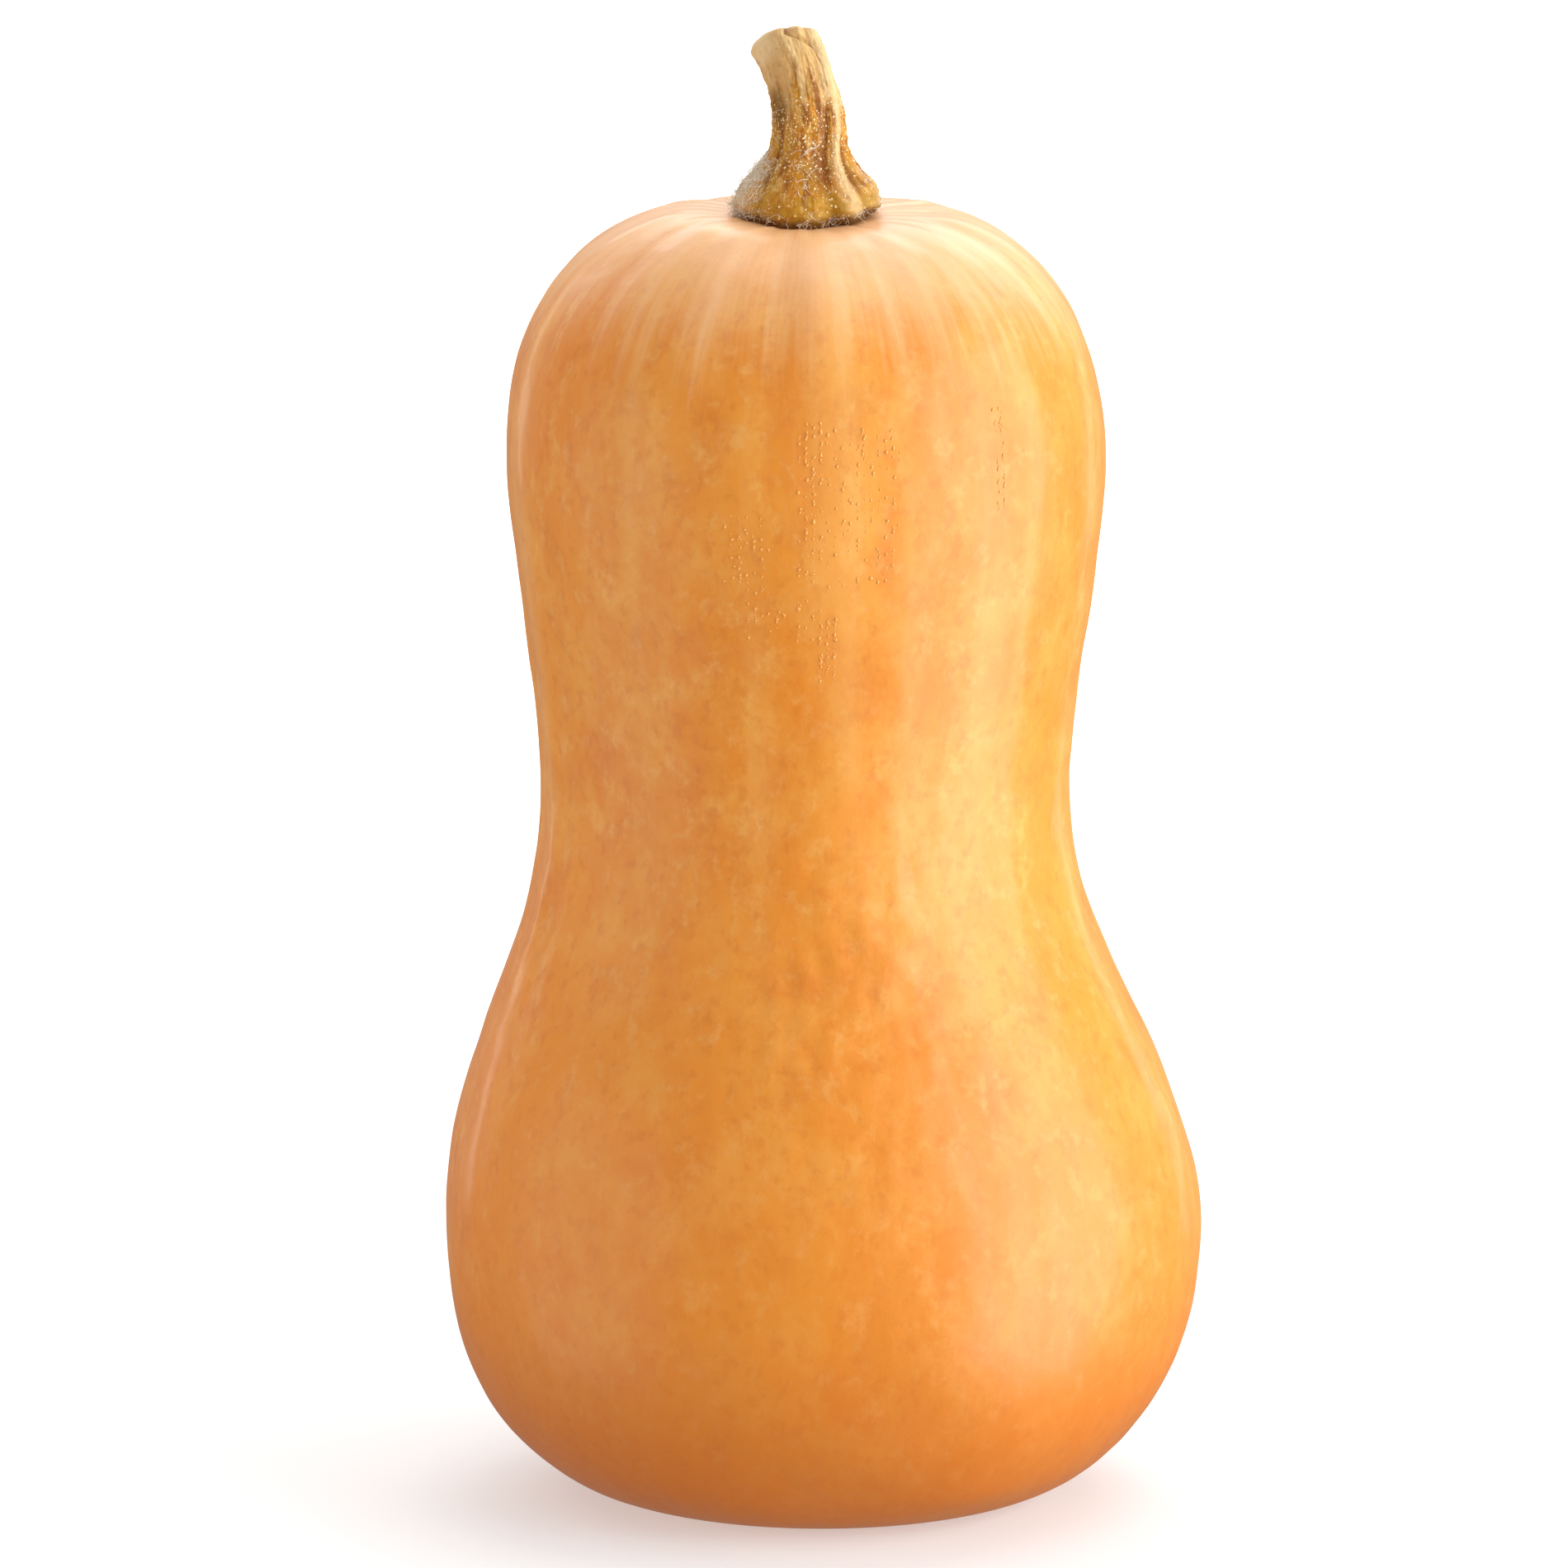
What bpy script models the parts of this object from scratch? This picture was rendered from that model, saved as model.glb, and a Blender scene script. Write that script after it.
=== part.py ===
"""Butternut squash standing on its blossom end, in metres, +Z up.

A fruit with a solid neck and a swollen bulb, and the woody stem it hung from. The origin is in the
middle of the base, on the surface that the squash stands on, and -Y is the front.
"""
import math

import bmesh
import bpy
import numpy as np

COLLECTION = "butternut_squash"

# Driving dimensions of the fruit
FRUIT_HEIGHT = 0.2147         # foot to the seat of the stem
NECK_OFFSET = -0.0027         # the neck stands this far to the left of the bulb
LEAN_START = 0.042            # the axis starts to lean at this height
LEAN_END = 0.120              # and is upright again from this height
DEPTH_RATIO = 0.985           # front to back over side to side
SEAT_RADIUS = 0.0130          # flat under the stem
FOOT_RADIUS = 0.0280          # outer edge of the flat ring it stands on
SCAR_RADIUS = 0.0120          # inner edge of that ring, round the blossom dimple
SCAR_DEPTH = 0.0022           # depth of the blossom dimple
SCAR_RINGS = 4                # rings down the dimple's wall

# Half outline between the seat and the foot: (radius, height)
OUTLINE = (
    (SEAT_RADIUS, FRUIT_HEIGHT),
    (0.0230, 0.2138),         # crown
    (0.0310, 0.2112),
    (0.0385, 0.2058),         # shoulder
    (0.0440, 0.1984),
    (0.0480, 0.1876),
    (0.0496, 0.1735),         # widest part of the neck
    (0.0475, 0.1530),
    (0.0445, 0.1310),
    (0.0442, 0.1120),         # waist
    (0.0492, 0.0920),
    (0.0574, 0.0720),
    (0.0626, 0.0510),         # widest part of the bulb
    (0.0612, 0.0300),
    (0.0544, 0.0140),
    (0.0450, 0.0046),
    (0.0370, 0.0010),
    (FOOT_RADIUS, 0.0),
)
OUTLINE_STEPS = 36            # rings read from the smooth curve through those points
TURN_STEPS = 48               # faces round the fruit

# Driving dimensions of the stem
GAP = 0.0003                  # clearance between the stem and its seat
RIBS = 5
RIB_TURN = math.radians(-53)  # bearing of the first rib, counted from +X
TWIST = math.radians(-12)     # how far the ribs turn between the flare and the cut
RIB_SHARPNESS = 0.25          # how much sharper a rib's crest is than a plain wave
BEND_START = 0.45             # share of the stem below which its sections stay level
CUT_NORMAL = (-0.25, 0.58, 0.77)   # the cut faces up and back, a little to the left
RIB_FACES = 8                 # faces from one rib to the next
STEM_STEPS = 17               # sections between the flare and the cut

SHARP_ANGLE = math.radians(50)   # an edge that turns more than this is shaded as an edge

# Stem, from the flare up: (distance along it, x, y, height, radius, rib depth as a share of radius)
STEM_LINE = (
    (0.00, 0.0000, 0.0000, 0.0000, 0.0107, 0.09),
    (0.06, 0.0000, 0.0000, 0.0016, 0.0115, 0.10),
    (0.16, 0.0001, 0.0000, 0.0042, 0.0109, 0.11),
    (0.28, 0.0003, 0.0000, 0.0076, 0.0082, 0.12),
    (0.40, 0.0005, 0.0000, 0.0108, 0.0064, 0.09),
    (0.58, 0.0004, 0.0001, 0.0155, 0.0058, 0.07),
    (0.76, -0.0003, 0.0005, 0.0200, 0.0057, 0.07),
    (0.90, -0.0016, 0.0013, 0.0236, 0.0059, 0.08),
    (1.00, -0.0030, 0.0022, 0.0262, 0.0062, 0.09),
)


def linear(hex_colour):
    """Turn an sRGB hex colour into the linear values that a shader takes."""
    channels = [int(hex_colour[i:i + 2], 16) / 255 for i in (1, 3, 5)]
    return [c / 12.92 if c <= 0.04045 else ((c + 0.055) / 1.055) ** 2.4 for c in channels] + [1.0]


def material(name, hex_colour, roughness):
    """A plain non-metallic finish."""
    made = bpy.data.materials.new(name)
    made.use_nodes = True
    shader = made.node_tree.nodes["Principled BSDF"]
    shader.inputs["Base Color"].default_value = linear(hex_colour)
    shader.inputs["Roughness"].default_value = roughness
    shader.inputs["Metallic"].default_value = 0.0
    return made


def spline(at, knots, values, end_slopes=None):
    """Cubic curve through values at knots, with continuous slope and curvature.

    The slopes at the knots come from one linear system: the curvature agrees where two pieces meet.
    The two ends take end_slopes, or have no curvature where none are given.
    """
    at, knots, values = (np.asarray(a, dtype=float) for a in (at, knots, values))
    gap = np.diff(knots)
    rise = np.diff(values) / gap
    count = len(knots)
    system = np.zeros((count, count))
    target = np.zeros(count)
    for i in range(1, count - 1):
        system[i, i - 1:i + 2] = gap[i], 2 * (gap[i - 1] + gap[i]), gap[i - 1]
        target[i] = 3 * (gap[i] * rise[i - 1] + gap[i - 1] * rise[i])
    if end_slopes:
        system[0, 0] = system[-1, -1] = 1
        target[0], target[-1] = end_slopes
    else:
        system[0, :2] = 2, 1
        system[-1, -2:] = 1, 2
        target[0], target[-1] = 3 * rise[0], 3 * rise[-1]
    slope = np.linalg.solve(system, target)
    piece = np.clip(np.searchsorted(knots, at, side="right") - 1, 0, count - 2)
    t = (at - knots[piece]) / gap[piece]
    return (
        (1 + 2 * t) * (1 - t) ** 2 * values[piece]
        + t * (1 - t) ** 2 * gap[piece] * slope[piece]
        + t * t * (3 - 2 * t) * values[piece + 1]
        + t * t * (t - 1) * gap[piece] * slope[piece + 1]
    )


def fruit_profile():
    """Half outline of the fruit, from its axis at the top, down the outside, to its axis below."""
    radius, height = np.array(OUTLINE).T
    along = np.concatenate([[0], np.cumsum(np.hypot(np.diff(radius), np.diff(height)))])
    at = np.linspace(0, along[-1], OUTLINE_STEPS)
    outside = list(zip(spline(at, along, radius, (1, -1)), spline(at, along, height, (0, 0))))
    angles = [0.5 * math.pi * i / SCAR_RINGS for i in range(SCAR_RINGS)]
    dimple = [(SCAR_RADIUS * math.cos(a), SCAR_DEPTH * math.sin(a)) for a in angles]
    return [(0, FRUIT_HEIGHT)] + outside + dimple + [(0, SCAR_DEPTH)]


def turned(name, profile):
    """A profile turned once round Z by a Screw modifier, as a plain mesh."""
    mesh = bpy.data.meshes.new(name)
    edges = [(i, i + 1) for i in range(len(profile) - 1)]
    mesh.from_pydata([(r, 0, z) for r, z in profile], edges, [])
    blank = bpy.data.objects.new(name + "_profile", mesh)
    bpy.context.collection.objects.link(blank)
    screw = blank.modifiers.new("turn", "SCREW")
    screw.steps = screw.render_steps = TURN_STEPS
    screw.use_merge_vertices = True
    screw.merge_threshold = 0.00001
    turned_mesh = bpy.data.meshes.new_from_object(
        blank.evaluated_get(bpy.context.evaluated_depsgraph_get()))
    bpy.data.objects.remove(blank)
    return turned_mesh


def lean_at(height):
    """Sideways shift of the fruit's axis at a height: none at the bulb, all of it at the neck."""
    t = np.clip((height - LEAN_START) / (LEAN_END - LEAN_START), 0, 1)
    return NECK_OFFSET * t * t * (3 - 2 * t)


def add(collection, name, mesh, finish):
    """Put a mesh into the collection as a smooth-shaded object with its own material."""
    mesh.name = name
    mesh.materials.clear()
    mesh.materials.append(finish)
    mesh.shade_smooth()
    mesh.set_sharp_from_angle(angle=SHARP_ANGLE)
    collection.objects.link(bpy.data.objects.new(name, mesh))


def fruit(collection):
    """The squash itself: turned, a little shallower than wide, with its neck off to the left."""
    mesh = turned("fruit", fruit_profile())
    for vertex in mesh.vertices:
        vertex.co.x += lean_at(vertex.co.z)
        vertex.co.y *= DEPTH_RATIO
    add(collection, "fruit", mesh, material("squash_rind", "#E8973F", 0.42))


def stem_sections():
    """Rings of points up the stem: a five-ribbed section carried along its bent line.

    A section's plane turns from level at the flare to the plane of the cut. Its radius swells at
    each rib by a cosine raised to sit sharper on the ribs than in the hollows between them.
    """
    along, x, y, height, radius, depth = np.array(STEM_LINE).T
    t = np.linspace(0, 1, STEM_STEPS)
    seat = (lean_at(FRUIT_HEIGHT), 0, FRUIT_HEIGHT + GAP)
    centre = seat + np.stack([spline(t, along, values) for values in (x, y, height)], axis=1)
    radius, depth = spline(t, along, radius), spline(t, along, depth)
    turn = np.clip((t - BEND_START) / (1 - BEND_START), 0, 1) ** 1.5
    up, cut = np.array([0, 0, 1.0]), np.array(CUT_NORMAL)
    normal = (1 - turn)[:, None] * up + turn[:, None] * cut / np.linalg.norm(cut)
    normal /= np.linalg.norm(normal, axis=1)[:, None]
    right = np.array([1.0, 0, 0]) - normal * normal[:, :1]
    right /= np.linalg.norm(right, axis=1)[:, None]
    back = np.cross(normal, right)
    bearing = np.linspace(0, 2 * math.pi, RIBS * RIB_FACES, endpoint=False)
    wave = np.cos(RIBS * (bearing - RIB_TURN - TWIST * t[:, None]))
    reach = radius[:, None] * (1 + depth[:, None] * (wave + RIB_SHARPNESS * wave ** 2))
    return (
        centre[:, None]
        + reach[..., None] * np.cos(bearing)[:, None] * right[:, None]
        + reach[..., None] * np.sin(bearing)[:, None] * back[:, None]
    )


def stem(collection):
    """The woody stem, lofted through its unlike sections and closed at the seat and at the cut."""
    sections = stem_sections()
    shaft = bmesh.new()
    rings = [[shaft.verts.new(point) for point in section] for section in sections]
    for low, high in zip(rings, rings[1:]):
        for i in range(len(low)):
            shaft.faces.new((low[i - 1], low[i], high[i], high[i - 1]))
    for ring, section, outwards in ((rings[0], sections[0], -1), (rings[-1], sections[-1], 1)):
        middle = shaft.verts.new(section.mean(axis=0))
        for i in range(len(ring)):
            shaft.faces.new((ring[i - 1], ring[i], middle)[::outwards])
    mesh = bpy.data.meshes.new("stem")
    shaft.to_mesh(mesh)
    shaft.free()
    add(collection, "stem", mesh, material("stem_wood", "#C8934F", 0.70))


def main():
    for old in list(bpy.data.objects):
        bpy.data.objects.remove(old)
    collection = bpy.data.collections.new(COLLECTION)
    bpy.context.scene.collection.children.link(collection)
    fruit(collection)
    stem(collection)


main()
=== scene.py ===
# %% [markdown]
# # A butternut squash
#
# The fruit hung from its stem while it grew, so everything on it follows two lines: the fibres in
# the rind run down from the stem, and the ribs of the stem run down into the fruit's shoulders.
# This lesson makes both surfaces from formulas, as whole arrays, and then gives them their finish.
#
# It starts from a plain solid model of the same squash. That model fixes the sizes, so every piece
# made here is placed and measured by it.

import bpy
import numpy as np
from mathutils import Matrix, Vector


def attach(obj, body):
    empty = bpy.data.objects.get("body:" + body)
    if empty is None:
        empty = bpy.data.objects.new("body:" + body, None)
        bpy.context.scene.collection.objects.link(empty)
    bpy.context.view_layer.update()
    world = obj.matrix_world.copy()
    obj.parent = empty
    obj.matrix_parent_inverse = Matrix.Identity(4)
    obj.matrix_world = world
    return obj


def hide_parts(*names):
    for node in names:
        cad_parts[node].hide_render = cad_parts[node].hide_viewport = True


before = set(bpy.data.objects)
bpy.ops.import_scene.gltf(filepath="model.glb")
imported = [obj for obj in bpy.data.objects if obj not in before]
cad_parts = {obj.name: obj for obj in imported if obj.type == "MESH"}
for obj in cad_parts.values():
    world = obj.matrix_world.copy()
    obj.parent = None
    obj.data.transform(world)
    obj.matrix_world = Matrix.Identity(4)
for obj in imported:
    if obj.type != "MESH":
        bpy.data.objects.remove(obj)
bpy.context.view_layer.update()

# %% [markdown]
# ## Small tools
#
# A few formulas come back all through the lesson. Easing turns something on gently, a bell marks a
# place, and a curve runs smoothly through a few values. Natural surfaces also need unevenness that
# has a size but no pattern. A sum of plane waves with random directions gives that, and it can be
# read at any point in space, so it never shows a seam.
#
# A bearing is an angle round the squash, counter-clockwise from its right side seen from above, so
# 90 degrees is the back, 180 the left and 270 the front.

# %% Easing, bells, curves and ripples
MM = 0.001


def ease(x, start, end):
    """0 before start, 1 after end, and 3t^2 - 2t^3 between them."""
    t = np.clip((x - start) / (end - start), 0, 1)
    return t * t * (3 - 2 * t)


def bell(x, centre, width):
    """exp(-d^2), where d is the distance from the centre in widths."""
    return np.exp(-(((x - centre) / width) ** 2))


def turn_from(bearing, degrees):
    """Signed angle from a bearing in degrees, in radians between -pi and pi."""
    return np.angle(np.exp(1j * (bearing - np.radians(degrees))))


def curve(at, knots, values):
    """Cubic pieces through the values: each knot's slope is that of the parabola through it."""
    slope = np.gradient(values, knots)
    i = np.clip(np.searchsorted(knots, at, side="right") - 1, 0, len(knots) - 2)
    gap = knots[i + 1] - knots[i]
    t = (at - knots[i]) / gap
    start = (1 + 2 * t) * (1 - t) ** 2 * values[i] + t * (1 - t) ** 2 * gap * slope[i]
    end = t * t * (3 - 2 * t) * values[i + 1] + t * t * (t - 1) * gap * slope[i + 1]
    return start + end


def ripple(points, wavelength, seed, waves=28):
    """Uneven relief of about -1 to 1: the sum of plane waves in random directions.

    Each wave is cos(k . p + phase), and its length is within a third of the wavelength given.
    """
    rng = np.random.default_rng(seed)
    ways = rng.normal(size=(waves, 3))
    ways /= np.linalg.norm(ways, axis=1)[:, None]
    k = ways * (2 * np.pi / (wavelength * rng.uniform(0.67, 1.33, waves)))[:, None]
    phase = rng.uniform(0, 2 * np.pi, waves)
    return np.cos(points @ k.T + phase).sum(-1) / np.sqrt(waves)


# %% [markdown]
# ## Meshes from grids
#
# Both big surfaces are closed tubes: rings of points from the top to the bottom, with one point at
# each end. A grid of rings becomes a mesh in one step, because every face joins four neighbours.
# The order of a face's corners decides which way it looks, so it is set once, here.

# %% Closed tubes and their outward directions
def closed_tube(name, rings, top, bottom):
    """Mesh of rings listed from top to bottom, counter-clockwise seen from above."""
    rows, columns = rings.shape[:2]
    index = np.arange(rows * columns).reshape(rows, columns)
    beside = np.roll(index, -1, axis=1)
    quads = np.stack([index[:-1], index[1:], beside[1:], beside[:-1]], axis=-1).reshape(-1, 4)
    first, last = rows * columns, rows * columns + 1
    cap = np.stack([np.full(columns, first), index[0], beside[0]], axis=-1)
    base = np.stack([np.full(columns, last), beside[-1], index[-1]], axis=-1)
    points = np.vstack([rings.reshape(-1, 3), top, bottom])
    mesh = bpy.data.meshes.new(name)
    mesh.from_pydata(points.tolist(), [], quads.tolist() + cap.tolist() + base.tolist())
    return mesh


def outward(rings):
    """Unit normals of a closed tube: the cross product of the steps down and around it."""
    down = np.gradient(rings, axis=0)
    around = np.roll(rings, -1, axis=1) - np.roll(rings, 1, axis=1)
    normal = np.cross(down, around)
    return normal / np.linalg.norm(normal, axis=-1)[..., None]


def piece(name, mesh, material, replaces=None):
    """Finish a mesh as one smooth piece that rides on the squash, in place of a solid if named."""
    mesh.shade_smooth()
    mesh.materials.append(material)
    made = bpy.data.objects.new(name, mesh)
    bpy.context.scene.collection.objects.link(made)
    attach(made, "root")
    if replaces:
        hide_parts(replaces)
    mesh.calc_loop_triangles()
    print(name, "-", len(mesh.loop_triangles), "triangles")


def attribute(mesh, name, values):
    """Store one vector for each point of a mesh, for its material to read."""
    made = mesh.attributes.new(name, "FLOAT_VECTOR", "POINT")
    made.data.foreach_set("vector", np.asarray(values, np.float32).ravel())


# %% [markdown]
# ## Read the fruit's outline from the model
#
# The model's fruit was turned, pressed a little flatter from front to back, and its neck was moved
# sideways. So each of its rings is a level ellipse, and four numbers say all about it: its height,
# its middle, its half width and its half depth. Smooth curves through those numbers give back the
# outline at any point, as fine as the rind needs.

# %% Level rings of the fruit
SCAR_RADIUS = 12.0 * MM       # the blossom dimple, inside the ring that the fruit stands on


def level_rings(name):
    """Rows of (height, middle, half width, half depth), from top to bottom, outside the dimple."""
    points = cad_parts[name].data.vertices
    places = np.empty(3 * len(points), np.float32)
    points.foreach_get("co", places)
    x, y, z = places.reshape(-1, 3)[np.argsort(places[2::3])].T.astype(float)
    heights, first = np.unique(np.round(z, 5), return_index=True)
    right, left = np.maximum.reduceat(x, first), np.minimum.reduceat(x, first)
    back, front = np.maximum.reduceat(y, first), np.minimum.reduceat(y, first)
    rows = np.stack([heights, (right + left) / 2, (right - left) / 2, (back - front) / 2], 1)[::-1]
    return rows[rows[:, 2] > 1.01 * SCAR_RADIUS]


model_rings = level_rings("fruit")
step = np.hypot(np.diff(model_rings[:, 2]), np.diff(model_rings[:, 0]))
model_along = np.concatenate([[0], np.cumsum(step)])
seat = np.array([model_rings[0, 1], 0, model_rings[0, 0]])
print(len(model_rings), "rings,", round(model_along[-1] / MM), "mm from the seat to the foot")

# %% [markdown]
# ## The rind
#
# A squash isn't a turned bowl. Its shoulders carry shallow ribs that fade down the neck, it has
# dents where leaves and ground pressed on it, and fine leathery creases where the neck swells into
# the bulb. All of that is relief of about a millimetre at most, moved along the surface's own
# outward direction. It is left out at the foot, so the squash still stands flat, and at the seat.
# Round the seat the crown itself swells on the left and dips in front of the stem.
#
# The rings are 1 mm apart, and their points 1.2 mm where the bulb is widest, so anything wider than
# about 3 mm can be real shape. Finer texture is left to the material.

# %% Fine rings of the rind
SKIN_COLUMNS = 330
SKIN_ROWS = 262
SEAT_RINGS = np.array([0.35, 0.7])    # the rings inside the seat, as shares of its size
FOOT_RINGS = 11
DIMPLE_RINGS = 8
SCAR_DEPTH = 2.0 * MM


def skin_rings():
    """The smooth skin, and how far along the outline each ring lies.

    A ring is the ellipse (middle + width cos b, depth sin b) at one height. The seat's inside and
    the foot are level, and the blossom dimple rises under it as a quarter cosine.
    """
    along = np.linspace(0, model_along[-1], SKIN_ROWS)
    height, middle, width, depth = (curve(along, model_along, column) for column in model_rings.T)
    foot = np.linspace(width[-1], SCAR_RADIUS, FOOT_RINGS + 1)[1:]
    angle = np.linspace(0, np.pi / 2, DIMPLE_RINGS + 2)[1:-1]
    dimple = SCAR_RADIUS * np.cos(angle)
    under = np.concatenate([0 * foot, SCAR_DEPTH * np.sin(angle)])
    height = np.concatenate([0 * SEAT_RINGS + height[0], height, under])
    middle = np.concatenate([0 * SEAT_RINGS + middle[0], middle, 0 * under + middle[-1]])
    shape = depth[-1] / width[-1]
    depth = np.concatenate([SEAT_RINGS * depth[0], depth, foot * shape, dimple * shape])
    width = np.concatenate([SEAT_RINGS * width[0], width, foot, dimple])
    reach = np.concatenate([[0], np.cumsum(np.hypot(np.diff(width), np.diff(height)))])
    bearing = np.linspace(0, 2 * np.pi, SKIN_COLUMNS, endpoint=False)
    x = middle[:, None] + width[:, None] * np.cos(bearing)
    y = depth[:, None] * np.sin(bearing)
    return np.stack(np.broadcast_arrays(x, y, height[:, None]), axis=-1), reach, bearing


# %% Ribs, dents and creases
LEFT = 198                    # the bearing of the dented left edge, in degrees
FRONT = 277                   # the bearing of the creased front
UPPER_BULB = 92 * MM          # heights on the skin
WAIST = 120 * MM
NECK = 150 * MM
SHOULDER = 207 * MM


def relief(rings, bearing):
    """Height of the rind's relief, in metres, at every point of its rings.

    Ribs are waves in the bearing whose numbers don't divide each other, so no two are alike. They
    are strongest on the shoulder. Dents and creases are ripples, held to their places by bells.
    """
    height = rings[..., 2]
    b = np.broadcast_to(bearing, height.shape)
    wave = np.cos(9 * b + 0.6) + 0.7 * np.cos(14 * b + 2.2) + 0.45 * np.cos(23 * b + 4.0)
    shoulder = bell(height, SHOULDER, 15 * MM)
    out = wave * (0.17 * MM * shoulder + 0.04 * MM * bell(height, NECK, 45 * MM))
    out += 0.40 * MM * ripple(rings, 58 * MM, 1)
    out += 0.10 * MM * ripple(rings, 24 * MM, 2)
    left = bell(turn_from(b, LEFT), 0, 0.22) * bell(height, WAIST, 42 * MM)
    out += left * (0.16 * MM * ripple(rings * (1, 1, 0.8), 13 * MM, 3)
                   + 0.11 * MM * ripple(rings * (1, 1, 0.4), 5 * MM, 6, 60)
                   + 0.22 * MM * np.cos(turn_from(b, LEFT + 1) * 26))
    creased = bell(turn_from(b, FRONT), 0, 0.42) * bell(height, UPPER_BULB, 24 * MM)
    out += 0.11 * MM * (0.2 + creased) * ripple(rings * (1, 1, 0.5), 4.6 * MM, 4, 60)
    out += 0.03 * MM * ripple(rings * (1, 1, 0.7), 9 * MM, 5, 60)
    above_foot = ease(height, 0.5 * MM, 9 * MM)
    below_seat = 1 - ease(height, 213.5 * MM, 214.7 * MM)
    return out * above_foot * below_seat


def crown(rings, bearing):
    """How far the skin rises near the stem: a swell on the left, a dip in front of the stem."""
    from_stem = np.hypot(rings[..., 0] - seat[0], rings[..., 1])
    on_top = ease(rings[..., 2], 195 * MM, 212 * MM)
    swell = 1.0 * bell(turn_from(bearing, 180), 0, 1.0) * bell(from_stem, 21 * MM, 9 * MM)
    dip = (0.25 + 1.0 * bell(turn_from(bearing, 265), 0, 1.0)) * bell(from_stem, 8 * MM, 8 * MM)
    folds = np.cos(13 * bearing + 1.9) + 0.8 * np.cos(19 * bearing + 0.5) + 0.8 * np.cos(31 * bearing)
    return on_top * MM * (swell - dip + 0.06 * folds * bell(from_stem, 17 * MM, 8 * MM))


# %% The skin's mesh
smooth_rings, reach, bearing = skin_rings()
raised = relief(smooth_rings, bearing)
rings = smooth_rings + raised[..., None] * outward(smooth_rings)
rings[..., 2] += crown(rings, bearing)
bottom = (rings[-1, :, 0].mean(), 0, SCAR_DEPTH)
skin_mesh = closed_tube("fruit_skin", rings, rings[0].mean(0), bottom)
grain = np.stack(np.broadcast_arrays(np.cos(bearing), np.sin(bearing), reach[:, None]), axis=-1)
attribute(skin_mesh, "grain", np.vstack([grain.reshape(-1, 3), (0, 0, 0), (0, 0, reach[-1])]))
print("relief, mm:", round(raised.min() / MM, 2), "to", round(raised.max() / MM, 2))
print("skin box, mm:", np.round(np.ptp(rings.reshape(-1, 3), axis=0) / MM, 1))

# %% [markdown]
# ## Colours and nodes
#
# Colours are picked as sRGB hex values, as a screen shows them, but a shader works in linear light,
# so one function converts them. Another adds a node, sets it and links it, and every material is
# made with that one.
#
# Nearly all colour on a plant comes in layers: a ground, then a tint wherever some pattern is
# strong. So one more function tints a ground where a mask is strong, and another makes that mask
# from a noise whose spots have a given width.

# %% Hex colours, nodes and layers of colour
def linear(hex_colour):
    """sRGB hex to linear light, with alpha 1."""
    s = np.array([int(hex_colour[i:i + 2], 16) for i in (1, 3, 5)]) / 255
    return (*np.where(s <= 0.04045, s / 12.92, ((s + 0.055) / 1.055) ** 2.4), 1.0)


def node(tree, kind, sockets, **settings):
    """Add a node with its settings, fill its inputs with values or links, return its output.

    An input is called by its name, or by its number where several share a name.
    """
    made = tree.nodes.new("ShaderNode" + kind)
    for name, value in settings.items():
        setattr(made, name, value)
    for name, value in sockets.items():
        named = [s for s in made.inputs if s.name == name and s.enabled]
        socket = named[0] if named else made.inputs[name]
        if isinstance(value, bpy.types.NodeSocket):
            tree.links.new(value, socket)
        else:
            socket.default_value = value
    return next(s for s in made.outputs if s.enabled)


def tint(tree, ground, hex_colour, mask, low, high, most=1.0):
    """Ground turned towards a colour: not at all where the mask is low, by most where it is high."""
    share = node(tree, "MapRange", {"Value": mask, "From Min": low, "From Max": high, "To Min": 0.0,
                                    "To Max": most}, interpolation_type="SMOOTHSTEP")
    return node(tree, "Mix", {"Factor": share, "A": ground, "B": linear(hex_colour)},
                data_type="RGBA")


def layer(tree, ground, hex_colour, place, width, low, high, most, stretch=(1, 1, 1), rough=0.5):
    """Tint by a noise whose spots are about width across, drawn out where stretch is below 1.

    A rough noise has strong small spots inside the wide ones, as mottled skin does.
    """
    scaled = node(tree, "Mapping", {"Vector": place, "Scale": np.array(stretch) / width})
    mask = node(tree, "TexNoise", {"Vector": scaled, "Scale": 1.0, "Detail": 5.0,
                                   "Roughness": rough})
    return tint(tree, ground, hex_colour, mask, low, high, most)


def new_material(name):
    """A material whose tree holds one Principled shader, and that tree and shader."""
    made = bpy.data.materials.new(name)
    made.use_nodes = True
    return made, made.node_tree, made.node_tree.nodes["Principled BSDF"]


# %% [markdown]
# ## The rind's finish
#
# Butternut rind is a hard skin with a thin bloom of natural wax. To the eye that is a satin orange
# that clouds from straw to deep orange, with fibres fanning down from the stem, under a faint clear
# gloss that shows at the edges. Wax has an IOR of 1.44, and the skin under it is close to that.
#
# The clouds read the object's own coordinates. The fibres read the grain attribute, whose first two
# numbers turn with the bearing and whose third runs down the outline, so they fan out from the stem
# and follow the bulb's swell.

# %% Waxy squash rind
BAND = 0.32                   # a band's width in the turning numbers: 0.32 radian, 15 mm on the neck
STREAK = 0.10                 # a streak's width in the turning numbers: 0.1 radian, 5 mm on the neck
FIBRE = 0.018                 # a fibre's width in the same: under 1 mm on the neck
FAN = (9, 9, 10)              # the crown's streaks: 0.11 radian wide and 100 mm long
DIMPLES = 2.2 * MM            # dimples round the pores, which are too fine to show themselves


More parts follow.
